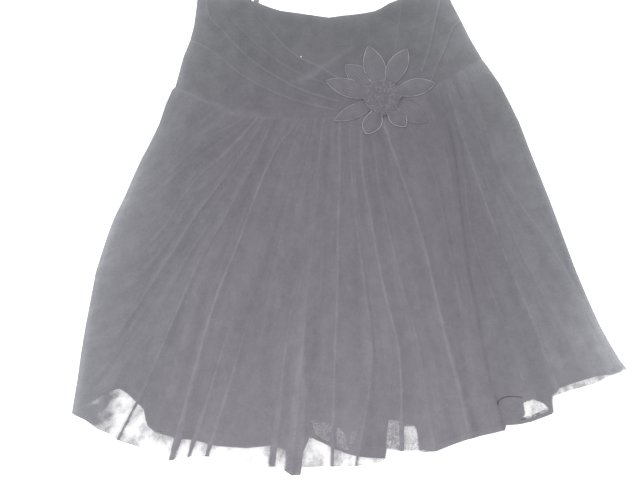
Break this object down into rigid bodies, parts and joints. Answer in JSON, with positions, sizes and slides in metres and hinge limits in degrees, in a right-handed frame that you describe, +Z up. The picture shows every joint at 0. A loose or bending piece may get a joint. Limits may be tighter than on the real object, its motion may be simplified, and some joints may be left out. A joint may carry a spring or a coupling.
{
  "type": "knee-length skirt",
  "caption": "Knee-length flared skirt of dark sheer cloth over a lining, with a tucked hip yoke and an appliqued flower, laid flat front up.",
  "frame": {"origin": "centre of the whole skirt's box, on its underside", "axes": "+X across the skirt toward the flower's side, +Y from the hem to the waist, +Z up out of the front"},
  "size_m": [0.7478, 0.664, 0.0129],
  "materials": {
    "sheer_cloth": "sheer matte mesh",
    "lining_cloth": "plain matte weave",
    "yoke_cloth": "matte, pin tucked",
    "flower_cloth": "matte with corded edges",
    "ribbon": "satin ribbon"
  },
  "bodies": {
    "root": {"back_yoke": "yoke_cloth", "back_skirt": "sheer_cloth", "back_lining": "lining_cloth", "front_lining": "lining_cloth", "front_skirt": "sheer_cloth", "front_yoke": "yoke_cloth", "flower_centre": "flower_cloth", "hanging_loop": "ribbon", "petal_1": "flower_cloth", "petal_2": "flower_cloth", "petal_3": "flower_cloth", "petal_4": "flower_cloth", "petal_5": "flower_cloth", "petal_6": "flower_cloth", "petal_7": "flower_cloth", "petal_8": "flower_cloth", "petal_9": "flower_cloth"}
  },
  "joints": []
}
